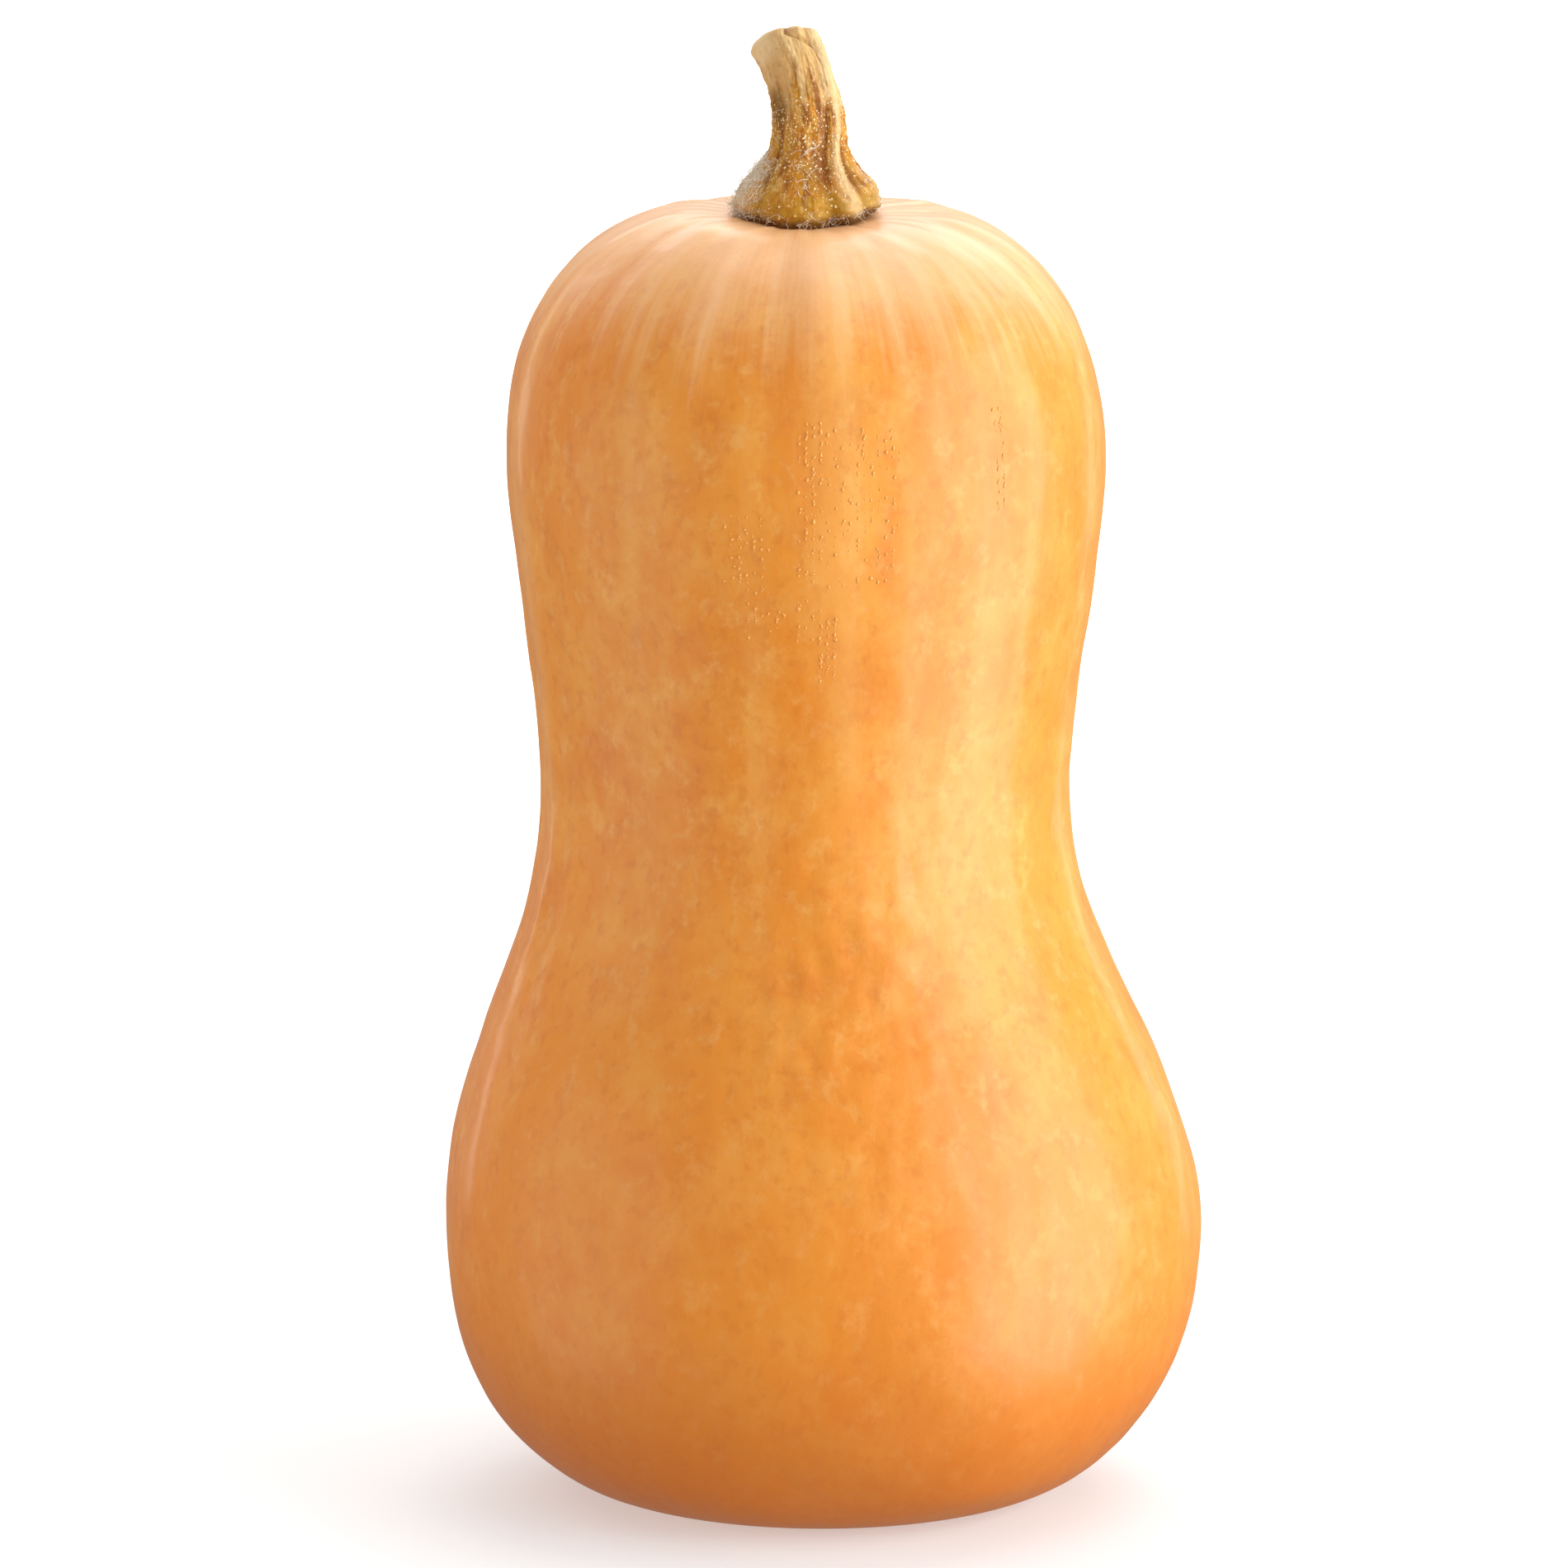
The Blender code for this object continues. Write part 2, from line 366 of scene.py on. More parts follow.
def rind_material():
    """Layers wide to fine: clouds, mottling, streaks, fibres; a partly painted crown highlight and foot
    shade.
    """
    made, tree, shader = new_material("waxed_squash_rind")
    place = node(tree, "TexCoord", {}).node.outputs["Object"]
    grain = node(tree, "Attribute", {}, attribute_name="grain").node.outputs["Vector"]
    z = node(tree, "SeparateXYZ", {"Vector": place}).node.outputs["Z"]
    colour = linear("#E98F22")
    colour = layer(tree, colour, "#DF7D12", place, 40 * MM, 0.40, 0.62, 0.6, (1, 1, 0.6), 0.65)
    colour = layer(tree, colour, "#EEA748", place, 15 * MM, 0.40, 0.70, 0.6, (1, 1, 0.8), 0.75)
    colour = layer(tree, colour, "#D56E0C", place, 8 * MM, 0.48, 0.68, 0.42, (1, 1, 0.8), 0.65)
    colour = layer(tree, colour, "#F2B25C", place, 4 * MM, 0.50, 0.70, 0.5, (1, 1, 0.8), 0.7)
    colour = layer(tree, colour, "#CC6406", place, 2.4 * MM, 0.50, 0.70, 0.34, (1, 1, 0.8), 0.6)
    neck = node(tree, "MapRange", {"Value": z, "From Min": 85 * MM, "From Max": 150 * MM})
    deep = node(tree, "Math", {0: neck, 1: 0.26}, operation="MULTIPLY")
    pale = node(tree, "Math", {0: neck, 1: 0.30}, operation="MULTIPLY")
    colour = layer(tree, colour, "#D8760F", grain, BAND, 0.46, 0.66, deep, (1, 1, 1.4), 0.4)
    colour = layer(tree, colour, "#F2B768", grain, BAND, 0.50, 0.70, pale, (1.3, 1.3, 2.0), 0.4)
    colour = layer(tree, colour, "#D9741E", grain, STREAK, 0.50, 0.75, deep, (1, 1, 3.0))
    colour = layer(tree, colour, "#F3B878", grain, FIBRE, 0.55, 0.85, 0.12, (1, 1, 4.0))
    # The crown turns pale peach in streaks that fan from the stem: partly its own paler rind, partly
    # painted highlight of the light from above.
    scaled = node(tree, "Mapping", {"Vector": grain, "Scale": FAN})
    fan = node(tree, "TexNoise", {"Vector": scaled, "Scale": 1.0, "Detail": 5.0, "Roughness": 0.7})
    shifted = node(tree, "MapRange", {"Value": fan, "To Min": -19 * MM, "To Max": 19 * MM})
    level = node(tree, "Math", {0: z, 1: shifted}, operation="ADD")
    colour = tint(tree, colour, "#F7C796", level, 191 * MM, 219 * MM, 0.70)
    # Deeper and darker orange towards the bottom: mostly painted shade of the underside, partly the
    # deeper rind of the blossom end.
    colour = tint(tree, colour, "#DE7A10", z, 125 * MM, 40 * MM, 0.40)
    colour = tint(tree, colour, "#C05A04", z, 50 * MM, 0 * MM, 0.72)
    scaled = node(tree, "Mapping", {"Vector": place, "Scale": np.array((1, 1, 0.8)) / DIMPLES})
    dimpled = node(tree, "TexNoise", {"Vector": scaled, "Scale": 1.0, "Detail": 4.0,
                                      "Roughness": 0.6})
    bump = node(tree, "Bump", {"Height": dimpled, "Distance": 0.10 * MM, "Strength": 0.8})
    rough = node(tree, "MapRange", {"Value": fan, "From Min": 0.3, "From Max": 0.7,
                                    "To Min": 0.42, "To Max": 0.60})
    tree.links.new(colour, shader.inputs["Base Color"])
    tree.links.new(rough, shader.inputs["Roughness"])
    tree.links.new(bump, shader.inputs["Normal"])
    shader.inputs["IOR"].default_value = 1.45
    shader.inputs["Coat Weight"].default_value = 0.24
    shader.inputs["Coat Roughness"].default_value = 0.18
    shader.inputs["Coat IOR"].default_value = 1.44
    return made


piece("fruit_skin", skin_mesh, rind_material(), replaces="fruit")

# %% [markdown]
# ## The stem
#
# The stem is a woody stalk with eight ribs, each the end of a bundle of fibres that fed the fruit.
# It spreads at its foot into rounded lobes that grip the crown. No two ribs are alike: one broad
# face looks forward, with a narrow pale rib beside it. The top is a slanting cut, with a rounded
# lip, a corky face and an open pith.
#
# It is one tube swept along a bent line. Its sections start level and end in the plane of the cut.

# %% Ribs of the stem
LIP = 1.8                     # height and width of the rounded lip at the cut, in mm
CUT_NORMAL = np.array([-0.12, 0.55, 0.82])
BEND_START = 0.45             # where along the stem its sections start to turn towards the cut
STATIONS = np.array([0.0, 0.3, 0.55, 1.0])
# One row for each rib: its bearing at the four stations, and half its width, in degrees.
RIBS = np.array([
    (258, 256, 256, 240, 54),     # the broad front face
    (312, 306, 321, 318, 25),     # the pale rib beside it
    (341, 343, 352, 350, 26),
    (380, 382, 388, 390, 27),
    (420, 422, 425, 428, 28),
    (463, 463, 465, 466, 30),
    (510, 509, 505, 502, 33),
    (565, 562, 552, 545, 34),     # the hairy rib on the left
])


def rib_shape(bearing, t):
    """0.5 in the grooves and 1 on the ribs: a soft maximum of cosine humps, one for each rib.

    The soft maximum is the sixth root of the sum of sixth powers, which keeps tops round and
    grooves sharp.
    """
    total = 0
    for rib in RIBS:
        away = turn_from(bearing, curve(t, STATIONS, rib[:4])) / np.radians(rib[4])
        total = total + np.cos(np.clip(away, -1, 1) * np.pi / 2) ** 6
    return total ** (1 / 6)


# %% The stem's line and its sections
STEM_COLUMNS = 320
STEM_ROWS = 200
FOOT = 0.03                   # the lowest section, as a share of the way along
FULL_RADIUS = 6.2             # about the shaft's radius at the cut, in mm
# Along the stem from 0 to 1: the middle's x, y and height, the radius, all in mm, and rib depth.
STEM_LINE = np.array([
    (0.00, 0.1, 0.0, 0.0, 11.2, 0.30),
    (0.06, 0.1, 0.0, 1.6, 11.9, 0.30),
    (0.16, 0.2, 0.0, 4.2, 11.2, 0.31),
    (0.28, 0.3, 0.0, 7.6, 8.3, 0.30),
    (0.40, 0.5, 0.0, 10.8, 6.5, 0.24),
    (0.58, 0.5, 0.1, 15.5, 5.9, 0.18),
    (0.76, -0.1, 0.5, 20.0, 5.9, 0.13),
    (0.90, -1.2, 1.3, 23.9, 6.1, 0.12),
    (1.00, -2.4, 2.2, 26.7, 6.3, 0.13),
])


def stem_sections():
    """For each ring from the top: place along, share of the full size, and lift in mm.

    The first rings are the last section made smaller and lifted: a pit for the pith, a shallow
    dish, and a quarter circle for the lip. The last ones turn the foot under.
    """
    lip = np.linspace(0, np.pi / 2, 12)[1:]
    edge = 1 - LIP / FULL_RADIUS
    dish = np.linspace(edge, 0.20, 16)[1:]
    pit = np.array([0.17, 0.15, 0.13, 0.08])
    hollow = LIP - 0.9 * ((edge - dish) / (edge - 0.2)) ** 0.7
    top_size = np.concatenate([1 - (1 - edge) * (1 - np.cos(lip)), dish, pit])[::-1]
    top_lift = np.concatenate([LIP * np.sin(lip), hollow, [0.3, -0.6, -1.6, -2.2]])[::-1]
    under = np.linspace(0, np.pi / 2, 9)[1:]
    t = np.concatenate([np.ones(len(top_size)), np.linspace(1, FOOT, STEM_ROWS),
                        np.full(len(under), FOOT)])
    size = np.concatenate([top_size, np.ones(STEM_ROWS), 1 - 0.25 * (1 - np.cos(under))])
    lift = np.concatenate([top_lift, np.zeros(STEM_ROWS), -1.1 * np.sin(under)])
    return t, size, lift


def directions(t):
    """Normal, right and back of each section, as the normal turns from upright to the cut's."""
    turn = np.clip((t - BEND_START) / (1 - BEND_START), 0, 1)[:, None] ** 1.5
    normal = (1 - turn) * (0, 0, 1) + turn * CUT_NORMAL / np.linalg.norm(CUT_NORMAL)
    normal /= np.linalg.norm(normal, axis=1)[:, None]
    right = (1, 0, 0) - normal * normal[:, :1]
    right /= np.linalg.norm(right, axis=1)[:, None]
    return normal, right, np.cross(normal, right)


stem_t, stem_size, stem_lift = stem_sections()
stem_bearing = np.linspace(0, 2 * np.pi, STEM_COLUMNS, endpoint=False)
print(len(stem_t), "sections of", STEM_COLUMNS, "points")

# %% The stem's surface
NOTCH_PLACES = np.array([0.80, 0.90, 0.96, 1.0])
NOTCH_BEARINGS = np.array([311.0, 308.0, 296.0, 263.0])


def stem_reach(bearing, along, radius, depth, ribs, grain):
    """From the middle to the surface in mm: radius x (1 + depth x (ribs - 0.8)), then details.

    A notch crosses the lip with a swelling beside it, the right side is slimmer near the cut,
    knobs roughen the foot, and fine ripples run along the fibres.
    """
    path = curve(along, NOTCH_PLACES, NOTCH_BEARINGS)
    notch = bell(turn_from(bearing, path), 0, 0.10) * ease(along, 0.80, 1.0)
    beside = bell(turn_from(bearing, path + 22), 0, 0.24) * ease(along, 0.72, 0.95)
    left = bell(turn_from(bearing, 200), 0, 0.9) * ease(along, 0.90, 1.0)
    slim = bell(turn_from(bearing, 5), 0, 0.8) * ease(along, 0.60, 0.92)
    knobs = (1 - ease(along, 0.08, 0.22)) * ripple(grain, 0.22, 13)
    fine = 0.09 * ripple(grain, 0.40, 11) + 0.05 * ripple(grain, 0.14, 12)
    reach = radius * (1 + depth * (ribs - 0.8)) + fine + 0.16 * knobs
    return reach - 0.55 * notch + 0.45 * beside + 0.2 * left - 1.3 * slim


def stem_rings():
    """Points of the stem, and its form (rib, place along, how far inside the cut) and grain.

    A section is the middle + (right cos b + back sin b) x reach x size. The foot hangs a little
    lower in front, where the crown falls away under it.
    """
    bearing, along = stem_bearing, stem_t[:, None]
    x, y, height, radius, depth = (curve(stem_t, STEM_LINE[:, 0], c) for c in STEM_LINE[:, 1:].T)
    normal, right, back = directions(stem_t)
    ribs = rib_shape(bearing, along)
    grain = np.stack(np.broadcast_arrays(np.cos(bearing), np.sin(bearing), 5 * along), -1)
    reach = stem_reach(bearing, along, radius[:, None], depth[:, None], ribs, grain)
    around = right[:, None] * np.cos(bearing)[:, None] + back[:, None] * np.sin(bearing)[:, None]
    middle = np.stack([x, y, height], -1) + normal * stem_lift[:, None]
    points = middle[:, None] + around * (reach * stem_size[:, None])[..., None]
    hang = 0.2 + 1.1 * bell(turn_from(bearing, 262), 0, 0.9) + 0.25 * (ribs - 0.8)
    hang = hang - 0.6 * bell(turn_from(bearing, 350), 0, 0.5)
    points[..., 2] -= hang * (1 - ease(along, 0.02, 0.30))
    inside = np.where(stem_t >= 1, 1 - stem_size, 0)[:, None]
    return seat + points * MM, np.stack(np.broadcast_arrays(ribs, along, inside), -1), grain


def stem_tones(bearing, along):
    """How pale and rusty it is, and where painted shade darkens its left: bells on single ribs and
    grooves.
    """
    low = 1 - ease(along, 0.25, 0.45)
    pale = 0.55 * bell(turn_from(bearing, curve(along, STATIONS, RIBS[1, :4]) + 3), 0, 0.24)
    pale = pale + bell(turn_from(bearing, 205), 0, 0.7) * ease(along, 0.84, 0.97)
    pale = pale + 0.9 * bell(turn_from(bearing, 197), 0, 0.4) * low
    pale = pale + 0.45 * bell(turn_from(bearing, 348), 0, 0.3) * low
    # Painted shade: a dark olive tint on the left side, which the light from the right leaves in shade.
    left_shade = bell(turn_from(bearing, 212), 0, 0.50) * bell(along, 0.66, 0.14)
    crease = curve(along, np.append(0.5, NOTCH_PLACES), np.append(300, NOTCH_BEARINGS))
    rusty = 0.4 * (ease(along, 0.45, 0.65) + ease(along, 0.8, 0.9))
    rusty = rusty * bell(turn_from(bearing, crease - 2), 0, 0.06)
    rusty = np.maximum(rusty, bell(turn_from(bearing, 286), 0, 0.28) * bell(along, 0.32, 0.14))
    return np.stack(np.broadcast_arrays(pale, left_shade, rusty), -1)


stem_points, stem_form, stem_grain = stem_rings()
stem_tone = stem_tones(stem_bearing, stem_t[:, None])
stem_mesh = closed_tube("stem_wood", stem_points, stem_points[0].mean(0), stem_points[-1].mean(0))
for name, values in {"form": stem_form, "grain": stem_grain, "tone": stem_tone}.items():
    ends = [values[0].mean(0), values[-1].mean(0)]
    attribute(stem_mesh, name, np.vstack([values.reshape(-1, 3), ends]))
print("stem box, mm:", np.round(np.ptp(stem_points.reshape(-1, 3), axis=0) / MM, 1))

# %% [markdown]
# ## The stem's finish
#
# The stem dried after it was cut. Its ribs are straw coloured and matt, its grooves stay rusty brown,
# and the cut has healed to pale cork. Dry plant fibre has an IOR of about 1.5 and hardly any gloss.
# Streaks follow the grain attribute. The form attribute says what is rib, groove or cut, and the tone
# attribute says where a single rib is paler or rustier than the rest, and where the stem's left side is
# darkened with painted shade.

# %% Dry woody stem
RAGGED = (4, 4, 0.6)          # the ragged end of the rust: patches a quarter of a radian wide
WOOD_FIBRES = (14, 14, 2)     # fibres 0.4 mm wide on the shaft, coarser than real ones, so they show
STRAW_FROM = 1.29             # all straw above here, in place along the stem plus a noise near 0.5
RUST_BELOW = 1.14             # all rust below here, in the same


def stem_material():
    """Rust below and straw above, dark grooves, pale crests, an olive foot, cork on the cut, and painted
    shade on the left side and at the very foot.
    """
    made, tree, shader = new_material("dry_woody_stem")
    place = node(tree, "TexCoord", {}).node.outputs["Object"]
    grain = node(tree, "Attribute", {}, attribute_name="grain").node.outputs["Vector"]
    form = node(tree, "Attribute", {}, attribute_name="form").node.outputs["Vector"]
    ribs, along, inside = node(tree, "SeparateXYZ", {"Vector": form}).node.outputs
    tone = node(tree, "Attribute", {}, attribute_name="tone").node.outputs["Vector"]
    pale, left_shade, rusty = node(tree, "SeparateXYZ", {"Vector": tone}).node.outputs
    straw = layer(tree, linear("#CD9F62"), "#E2C18E", grain, 0.30, 0.42, 0.68, 0.6, (1, 1, 0.3))
    straw = layer(tree, straw, "#B4833C", grain, 0.07, 0.52, 0.75, 0.35, (1, 1, 0.12))
    rust = layer(tree, linear("#BE7814"), "#B98D1E", grain, 0.45, 0.44, 0.62, 0.6, (1, 1, 0.5), 0.65)
    rust = layer(tree, rust, "#EDC27C", grain, 0.15, 0.52, 0.68, 0.6, (1, 1, 0.3), 0.7)
    rust = layer(tree, rust, "#8A4600", grain, 0.15, 0.48, 0.64, 0.85, (1, 1, 0.22), 0.65)
    rust = layer(tree, rust, "#F3D69A", grain, 0.045, 0.55, 0.70, 0.6, (1, 1, 0.4), 0.6)
    scaled = node(tree, "Mapping", {"Vector": grain, "Scale": RAGGED})
    ragged = node(tree, "TexNoise", {"Vector": scaled, "Scale": 1.0, "Detail": 4.0})
    height = node(tree, "Math", {0: along, 1: ragged}, operation="ADD")
    lower = node(tree, "MapRange", {"Value": height, "From Min": STRAW_FROM,
                                    "From Max": RUST_BELOW})
    groove = node(tree, "MapRange", {"Value": ribs, "From Min": 0.74, "From Max": 0.50})
    deep = node(tree, "Math", {0: groove, 1: lower}, operation="MULTIPLY")
    colour = node(tree, "Mix", {"Factor": lower, "A": straw, "B": rust}, data_type="RGBA")
    colour = tint(tree, colour, "#7A3E00", deep, 0.0, 0.9, 0.75)
    colour = tint(tree, colour, "#B88A22", along, 0.20, 0.11, 0.6)
    colour = tint(tree, colour, "#E9CB9E", pale, 0.1, 0.95, 0.8)
    # Painted shade darkens the stem's left side.
    colour = tint(tree, colour, "#7A5210", left_shade, 0.1, 0.9, 0.85)
    colour = tint(tree, colour, "#7E3E00", rusty, 0.1, 0.9, 0.8)
    # Darkest at the very foot: partly its dark brown fringe, partly painted shade under the lobes where
    # they meet the crown.
    colour = tint(tree, colour, "#5A3004", along, 0.09, 0.035, 0.9)
    colour = layer(tree, colour, "#6A3A04", place, 1.6 * MM, 0.54, 0.72, 0.5, (1, 1, 1), 0.75)
    colour = layer(tree, colour, "#F0CF94", place, 0.9 * MM, 0.54, 0.72, 0.4, (1, 1, 1), 0.7)
    colour = tint(tree, colour, "#E0C08A", inside, 0.05, 0.3, 0.85)
    colour = tint(tree, colour, "#6B4522", inside, 0.80, 0.88, 0.9)
    scaled = node(tree, "Mapping", {"Vector": grain, "Scale": WOOD_FIBRES})
    fibres = node(tree, "TexNoise", {"Vector": scaled, "Scale": 1.0, "Detail": 4.0})
    bump = node(tree, "Bump", {"Height": fibres, "Distance": 0.25 * MM, "Strength": 0.8})
    tree.links.new(colour, shader.inputs["Base Color"])
    tree.links.new(bump, shader.inputs["Normal"])
    shader.inputs["Roughness"].default_value = 0.60
    shader.inputs["IOR"].default_value = 1.5
    shader.inputs["Specular IOR Level"].default_value = 0.25
    return made


piece("stem_wood", stem_mesh, stem_material(), replaces="stem")

# %% [markdown]
# ## Small domes: the stem's dots and the rind's beads
#
# Two kinds of small raised spot matter to the eye. The stem carries hundreds of cream dots in rows,
# the bases of bristles that have worn off. The rind carries clusters of small beads of dried sap.
# Both are flattened balls, half sunk in the surface: a few dozen faces each, joined in one mesh,
# each made from the point it stands on and the outward direction there.

# %% Domes standing on a surface
LEANING = (0.31, 0.17, 0.94)


def on_surface(rings, row, column):
    """Points and outward directions at fractional rows and columns of a closed tube."""
    i, j = np.floor(row).astype(int), np.floor(column).astype(int)
    a, b = (row - i)[:, None], (column - j)[:, None]
    wide = rings.shape[1]
    found = []
    for grid in (rings, outward(rings)):
        above = (1 - b) * grid[i, j % wide] + b * grid[i, (j + 1) % wide]
        below = (1 - b) * grid[i + 1, j % wide] + b * grid[i + 1, (j + 1) % wide]
        found.append((1 - a) * above + a * below)
    return found


def domes(name, points, normals, widths, tall, sides, long=1.0):
    """Flattened balls: for each, rings of width w cos e and height h sin e above its point.

    Long stretches them up and down. Their sides lie across a leaning line, which no outward
    direction follows.
    """
    side = np.cross(normals, LEANING)
    side /= np.linalg.norm(side, axis=1)[:, None]
    front = np.cross(normals, side)
    turn = np.linspace(0, 2 * np.pi, sides, endpoint=False)
    raised = np.radians([55, 15, -30])
    circle = (side[:, None] * np.cos(turn)[:, None]
              + long * front[:, None] * np.sin(turn)[:, None])
    rings = (points[:, None, None]
             + circle[:, None] * (widths[:, None] * np.cos(raised))[..., None, None]
             + normals[:, None, None] * (tall[:, None] * np.sin(raised))[..., None, None])
    top = points + normals * tall[:, None]
    under = points - normals * tall[:, None]
    count = len(points)
    each = len(raised) * sides + 2
    verts = np.concatenate([rings.reshape(count, -1, 3), top[:, None], under[:, None]], axis=1)
    index = np.arange(len(raised) * sides).reshape(len(raised), sides)
    beside = np.roll(index, -1, axis=1)
    quads = np.stack([index[:-1], index[1:], beside[1:], beside[:-1]], axis=-1).reshape(-1, 4)
    cap = np.stack([np.full(sides, each - 2), index[0], beside[0]], axis=-1)
    base = np.stack([np.full(sides, each - 1), beside[-1], index[-1]], axis=-1)
    shift = np.arange(count)[:, None, None] * each
    faces = [face for part in (quads, cap, base)
             for face in (part + shift).reshape(-1, part.shape[1]).tolist()]
    mesh = bpy.data.meshes.new(name)
    mesh.from_pydata(verts.reshape(-1, 3).tolist(), [], faces)
    return mesh


# %% Cream dots on the stem
def stem_spots(bearing, t):
    """Points and outward directions at bearings in radians and places along the stem."""
    shaft = np.arange(len(stem_t))[stem_t < 1]
    row = np.interp(-t, -stem_t[shaft], shaft)
    return on_surface(stem_points, row, bearing % (2 * np.pi) / (2 * np.pi) * STEM_COLUMNS)


def bristle_dots():
    """Rows of dots up the stem, thinning out towards its top third and its foot."""
    rng = np.random.default_rng(21)
    rows, per_row = 60, 24
    bearing = np.repeat(np.linspace(0, 2 * np.pi, rows, endpoint=False), per_row)
    bearing = bearing + rng.normal(0, 0.045, rows * per_row)
    t = np.tile(np.linspace(0.08, 0.78, per_row), rows) + rng.uniform(-0.022, 0.022, rows * per_row)
    keep = rng.uniform(0, 1, len(t)) < 0.85 * (1 - ease(t, 0.60, 0.76)) * ease(t, -0.05, 0.25)
    t, bearing = t[keep], bearing[keep]
    points, normals = stem_spots(bearing, t)
    width = (0.07 + 0.13 * rng.uniform(0, 1, len(points)) ** 1.5) * MM
    return domes("stem_dots", points, normals, width, 0.5 * width, sides=6, long=1.25)


def dry_material(name, colour, roughness, darker):
    """Dry plant matter: one ground colour with fine uneven spots of a darker one."""
    made, tree, shader = new_material(name)
    place = node(tree, "TexCoord", {}).node.outputs["Object"]
    shade = layer(tree, linear(colour), darker, place, 0.8 * MM, 0.45, 0.75, 0.5)
    tree.links.new(shade, shader.inputs["Base Color"])
    shader.inputs["Roughness"].default_value = roughness
    shader.inputs["IOR"].default_value = 1.5
    return made


scar_material = dry_material("cream_bristle_scar", "#F1D9A8", 0.6, "#D9B478")
piece("stem_dots", bristle_dots(), scar_material)


# %% Beads of dried sap on the rind
ROW_GAP = 1.4                 # between the upright rows of beads, in degrees
# One row for each cluster: from and to in degrees right of the front, from and to in mm up the
# squash, and its number of beads.
CLUSTERS = np.array([
    (-1, 3, 162, 188, 130),
    (4, 18, 161, 187, 150),
    (-15, -7, 160, 173, 90),
    (-12, 3, 152, 159, 45),
    (2, 6, 145, 156, 70),
    (39, 41, 172, 189, 60),
])


def sap_beads():
    """Clusters of beads, each bead at random in its cluster and then drawn to the nearest row."""
    rng = np.random.default_rng(31)
    left, right, low, high = np.repeat(CLUSTERS[:, :4], CLUSTERS[:, 4], axis=0).T
    drawn = np.round(rng.uniform(left, right) / ROW_GAP) * ROW_GAP
    turned = drawn + rng.normal(0, 0.15, len(left))
    height = rng.uniform(low, high)
    column = ((turned - 90) % 360) / 360 * SKIN_COLUMNS
    side = np.arange(len(rings))[len(SEAT_RINGS):-FOOT_RINGS - DIMPLE_RINGS - 1]
    row = np.interp(-height * MM, -rings[side, 0, 2], side)
    points, normals = on_surface(rings, row, column)
    width = (0.10 + 0.17 * rng.uniform(0, 1, len(points)) ** 2) * MM
    return domes("skin_beads", points, normals, width, 0.75 * width, sides=8, long=1.5)


sap_material = dry_material("dried_sap_bead", "#EFA24C", 0.25, "#E0862C")
piece("skin_beads", sap_beads(), sap_material)

# %% [markdown]
# ## Hairs at the stem's foot
#
# Young squash stems are hairy, and some hairs outlast the summer, curled and bleached, in the
# shelter of the foot. Each is a thread of nine sections with three corners. It starts almost flat
# on the surface and then wanders by a few random waves, so the hairs mat together.

# %% Bleached hairs
def threads(name, start, normals, push, length, radius, seed, steps=9):
    """Three-sided threads: start + push s + a wander that grows with s and hugs the surface."""
    rng = np.random.default_rng(seed)
    s = np.linspace(0, 1, steps)[:, None]
    count = len(start)
    waves = rng.normal(0, 1, (count, 3, 1, 3))
    phase = rng.uniform(0, 2 * np.pi, (count, 3, 1, 1))
    speed = np.array([1.6, 3.6, 6.0])[:, None, None]
    wander = (waves * (np.sin(speed * s + phase) - np.sin(phase)) / speed).sum(1)
    wander -= 0.75 * normals[:, None] * (wander * normals[:, None]).sum(-1)[..., None]
    path = start[:, None] + length[:, None, None] * (push[:, None] * s + 0.60 * wander)
    along = np.gradient(path, axis=1)
    along /= np.linalg.norm(along, axis=-1)[..., None]
    side = np.cross(along, (0.2, 0.5, 0.84))
    side /= np.linalg.norm(side, axis=-1)[..., None]
    front = np.cross(along, side)
    turn = np.radians([0, 120, 240])
    circle = side[:, :, None] * np.cos(turn)[:, None] + front[:, :, None] * np.sin(turn)[:, None]
    thin = radius * (1 - 0.6 * s)[None, :, None]
    verts = path[:, :, None] + circle * thin
    index = np.arange(steps * 3).reshape(steps, 3)
    beside = np.roll(index, -1, axis=1)
    quads = np.stack([index[:-1], beside[:-1], beside[1:], index[1:]], axis=-1).reshape(-1, 4)
    ends = np.array([index[0, ::-1], index[-1]])
    shift = np.arange(count)[:, None, None] * steps * 3
    faces = (quads + shift).reshape(-1, 4).tolist() + (ends + shift).reshape(-1, 3).tolist()
    mesh = bpy.data.meshes.new(name)
    mesh.from_pydata(verts.reshape(-1, 3).tolist(), [], faces)
    return mesh


def foot_hairs():
    """Most hairs lie in a web on the left rib, some fringe the foot, and a few cross the shaft.

    A hair starts along the surface: a random direction, less most of its outward part.
    """
    rng = np.random.default_rng(41)
    # Each kind of hair has its bearings in degrees and its places along the stem.
    web = np.stack([rng.normal(196, 13, 760), rng.uniform(0.03, 0.35, 760)])
    fringe = np.stack([rng.uniform(0, 360, 170), rng.uniform(0.03, 0.08, 170)])
    shaft = np.stack([rng.uniform(0, 360, 40), rng.uniform(0.2, 0.68, 40)])
    front = np.stack([rng.normal(268, 8, 22), rng.uniform(0.22, 0.48, 22)])
    bearing, t = np.concatenate([web, fringe, shaft, front], axis=1)
    points, normals = stem_spots(np.radians(bearing), t)
    push = rng.normal(0, 0.34, normals.shape)
    push -= normals * (push * normals).sum(1)[:, None]
    push += normals * rng.uniform(0.04, 0.16, len(points))[:, None]
    length = rng.uniform(1.5, 3.8, len(points)) * MM
    return threads("stem_hairs", points, normals, push, length, 0.045 * MM, 42)


hair_material = dry_material("bleached_plant_hair", "#F9EDDB", 0.5, "#E3D0B2")
piece("stem_hairs", foot_hairs(), hair_material)

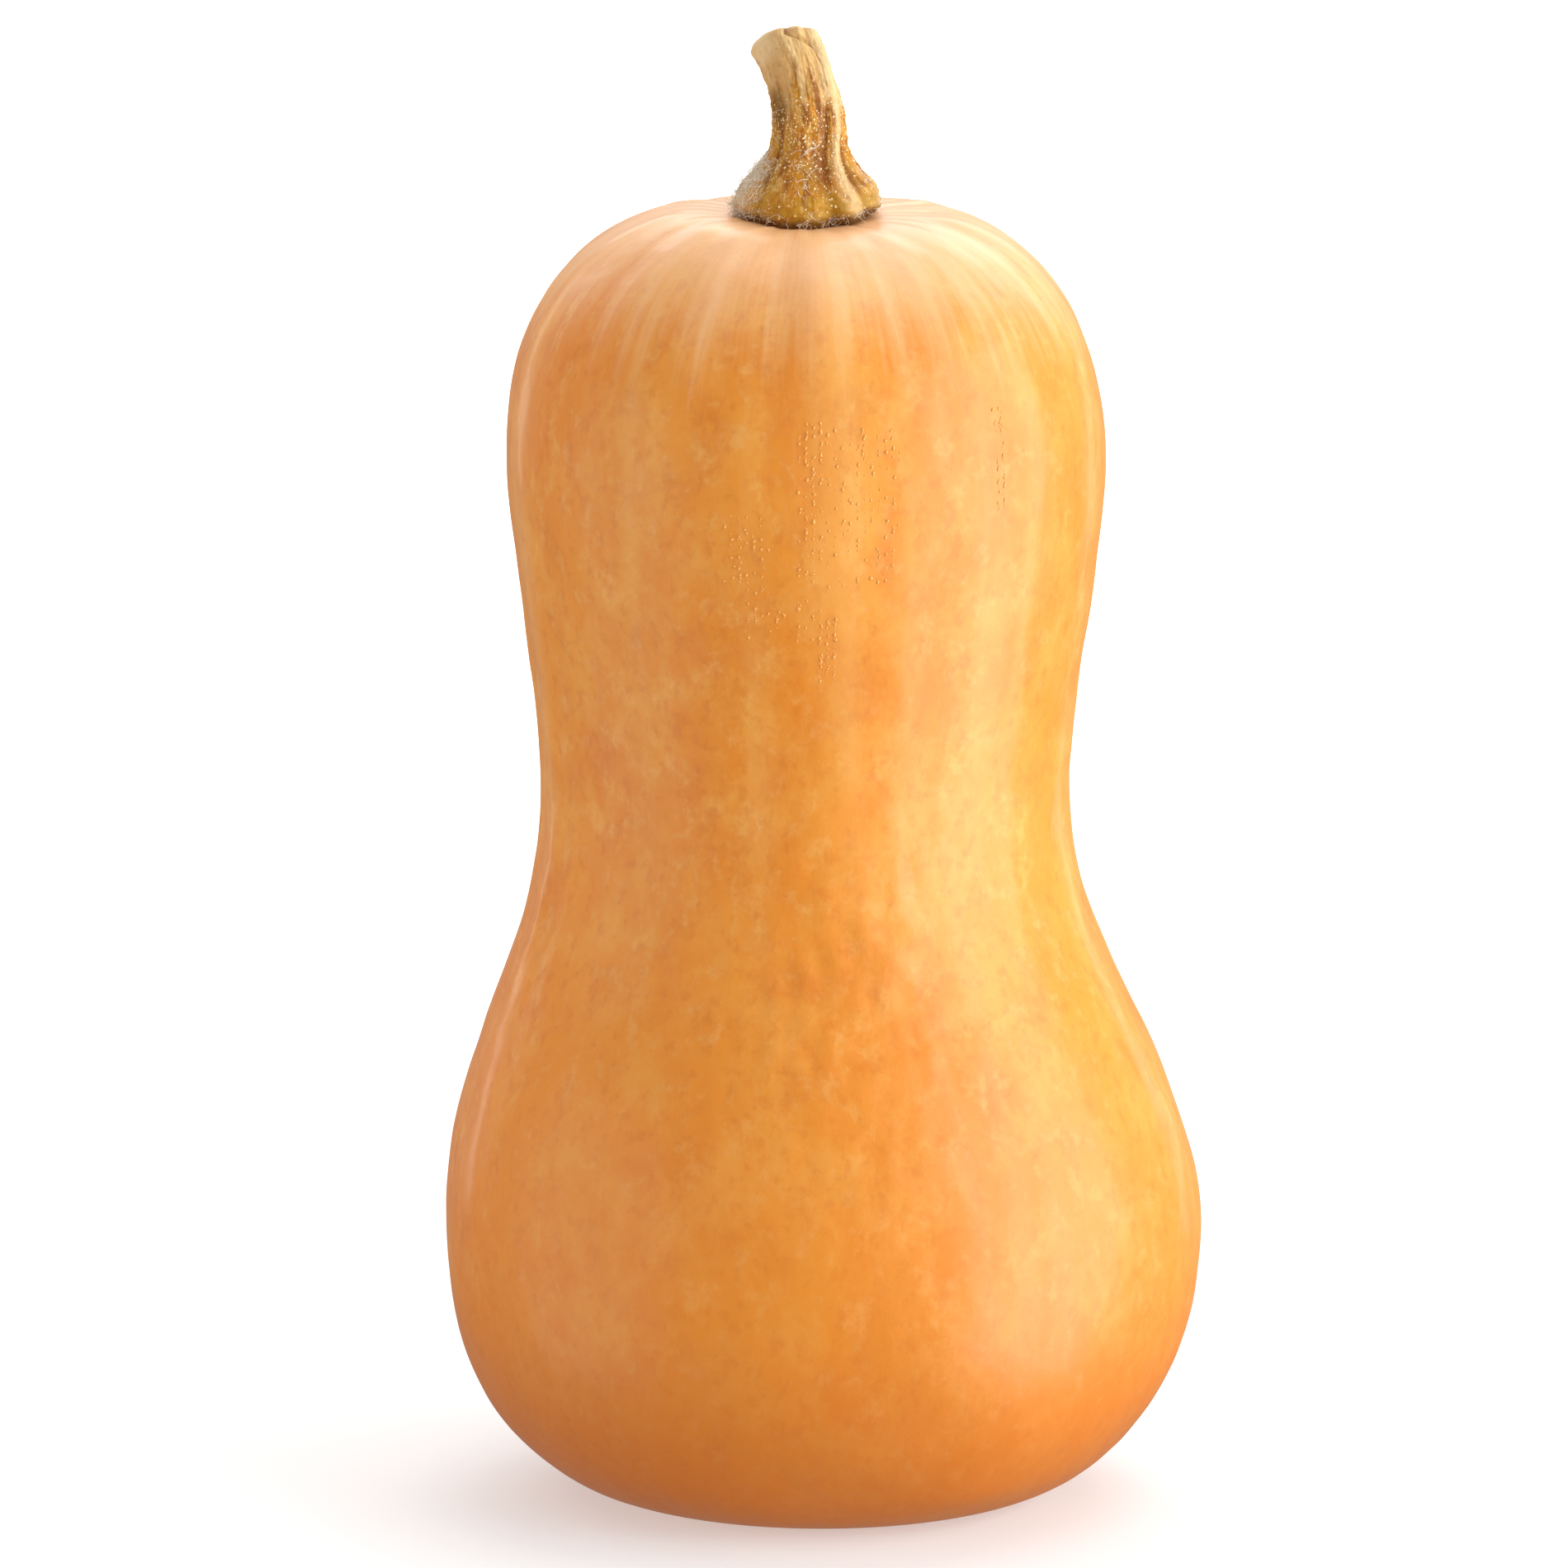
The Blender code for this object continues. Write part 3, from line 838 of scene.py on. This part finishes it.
# %% [markdown]
# ## Floor, light and camera
#
# The squash stands on a plain pale floor. A large soft light from the right makes the form, and a
# weaker one opens the left from below. The first is a shade cool and the second a shade warm, so the
# lit side turns to straw and the shaded side stays orange. Three panels above and behind make the
# crown shine, and two tall narrow lights behind give the faint bright lines that run down both
# edges. Lights aren't visible to the camera, only in the wax's gloss. The room around is pale in
# front and darker behind.

# %% Studio
def light(name, place, aim, size, power, colour=(1, 1, 1)):
    """A rectangular area light at a place, turned to face the aim: sizes in metres, power in W."""
    made = bpy.data.objects.new(name, bpy.data.lights.new(name, "AREA"))
    made.data.shape = "RECTANGLE"
    made.data.size, made.data.size_y = size
    made.data.energy = power
    made.data.color = colour
    made.location = place
    made.rotation_euler = (Vector(aim) - Vector(place)).to_track_quat("-Z", "Y").to_euler()
    made.visible_camera = False
    bpy.context.scene.collection.objects.link(made)


light("key", (1.80, -0.64, 0.18), (0, 0, 0.12), (2.1, 2.4), 79, (0.85, 0.955, 1.0))
light("fill", (-1.90, -0.50, -0.20), (0, 0, 0.10), (2.0, 2.0), 17, (1.0, 0.95, 0.80))
light("overhead", (0.35, 0.5, 1.7), (0, 0, 0.12), (1.5, 1.2), 12)
light("shoulder", (-0.95, 0.95, 1.15), (0, 0, 0.15), (1.1, 1.1), 2.5)
light("back", (0.1, 1.5, 1.0), (0, 0, 0.2), (1.4, 0.8), 10)
light("edge_left", (-1.02, 1.10, 0.50), (0, 0, 0.12), (0.13, 1.4), 2.0)
light("edge_right", (0.89, 1.21, 0.45), (0, 0, 0.12), (0.16, 1.5), 2.0)


def floor_material():
    """Matt white card that glows: weakly by the squash, so its shadow shows, and fully far away."""
    made, tree, shader = new_material("white_card")
    place = node(tree, "TexCoord", {}).node.outputs["Object"]
    colour = layer(tree, linear("#D0D0D0"), "#CCCCCC", place, 0.2, 0.4, 0.7, 0.5)
    away = node(tree, "VectorMath", {"Vector": place}, operation="LENGTH")
    glow = node(tree, "MapRange", {"Value": away, "From Min": 0.2, "From Max": 0.9, "To Min": 0.4})
    tree.links.new(colour, shader.inputs["Base Color"])
    tree.links.new(glow, shader.inputs["Emission Strength"])
    shader.inputs["Roughness"].default_value = 0.9
    shader.inputs["Emission Color"].default_value = (1, 1, 1, 1)
    return made


FLOOR_HALF = 6.0
floor_mesh = bpy.data.meshes.new("floor")
corners = np.array([(-1, -1, 0), (1, -1, 0), (1, 1, 0), (-1, 1, 0)]) * FLOOR_HALF
floor_mesh.from_pydata(corners.tolist(), [], [(0, 1, 2, 3)])
floor_mesh.materials.append(floor_material())
floor = bpy.data.objects.new("floor", floor_mesh)
bpy.context.scene.collection.objects.link(floor)
floor.visible_diffuse = False
floor.visible_glossy = False
floor.visible_shadow = False

# %% The room around
world = bpy.data.worlds.new("studio")
world.use_nodes = True
bpy.context.scene.world = world
sky = world.node_tree
sky.nodes["Background"].inputs["Color"].default_value = (1, 1, 1, 1)
seen = node(sky, "LightPath", {}).node.outputs["Is Camera Ray"]
way = node(sky, "TexCoord", {}).node.outputs["Generated"]
parts = node(sky, "SeparateXYZ", {"Vector": way}).node.outputs
front = node(sky, "MapRange", {"Value": parts["Y"], "From Min": -0.4, "From Max": 0.5,
                               "To Min": 0.60, "To Max": 0.34})
above = node(sky, "MapRange", {"Value": parts["Z"], "From Min": -0.3, "From Max": 0.1,
                               "To Min": 0.80})
room = node(sky, "Math", {0: front, 1: above}, operation="MULTIPLY")
strength = node(sky, "Mix", {"Factor": seen, "A": room, "B": 1.0}, data_type="FLOAT")
sky.links.new(strength, sky.nodes["Background"].inputs["Strength"])

# %% Camera
CAMERA_AIM = np.array([-6.26, 0.0, 118.8]) * MM
CAMERA_RISE = np.radians(11.5)
CAMERA_DISTANCE = 2.6
VIEW_WIDTH = 0.2595           # how much of the scene the frame takes in, at the aim
SENSOR = 36                   # the sensor's width in mm
camera = bpy.data.objects.new("camera", bpy.data.cameras.new("camera"))
camera.data.sensor_width = SENSOR
camera.data.lens = SENSOR * CAMERA_DISTANCE / VIEW_WIDTH
camera.location = CAMERA_AIM + CAMERA_DISTANCE * np.array([0, -np.cos(CAMERA_RISE), np.sin(CAMERA_RISE)])
camera.rotation_euler = (np.pi / 2 - CAMERA_RISE, 0, 0)
bpy.context.scene.collection.objects.link(camera)
bpy.context.scene.camera = camera
bpy.context.scene.view_settings.view_transform = "Standard"
